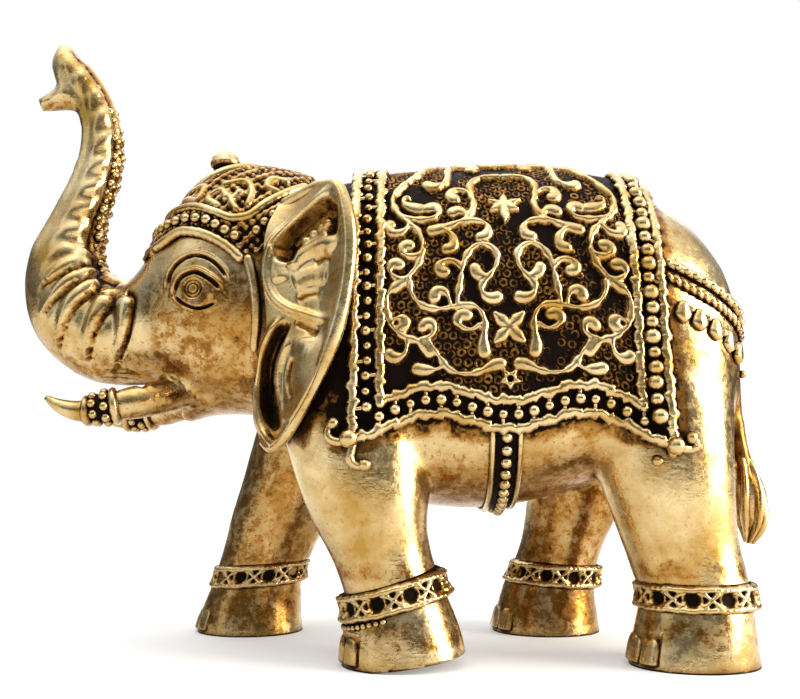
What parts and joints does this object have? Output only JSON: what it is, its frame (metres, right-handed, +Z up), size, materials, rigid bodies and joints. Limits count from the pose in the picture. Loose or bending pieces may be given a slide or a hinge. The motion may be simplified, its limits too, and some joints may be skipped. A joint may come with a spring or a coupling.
{
  "type": "brass elephant figurine",
  "caption": "Cast brass elephant with a raised trunk, scrolled saddle cloth, beaded headdress, banded tusks and latticed anklets, walking on its feet.",
  "frame": {"origin": "on the ground under the middle of the figure's box", "axes": "+Z up, -X the way the elephant faces, -Y its left side"},
  "size_m": [0.1114, 0.0458, 0.0921],
  "materials": {
    "antiqued_brass": "polished high spots over near-black patina in the recesses"
  },
  "bodies": {
    "root": {"elephant_figurine": "antiqued_brass"}
  },
  "joints": []
}
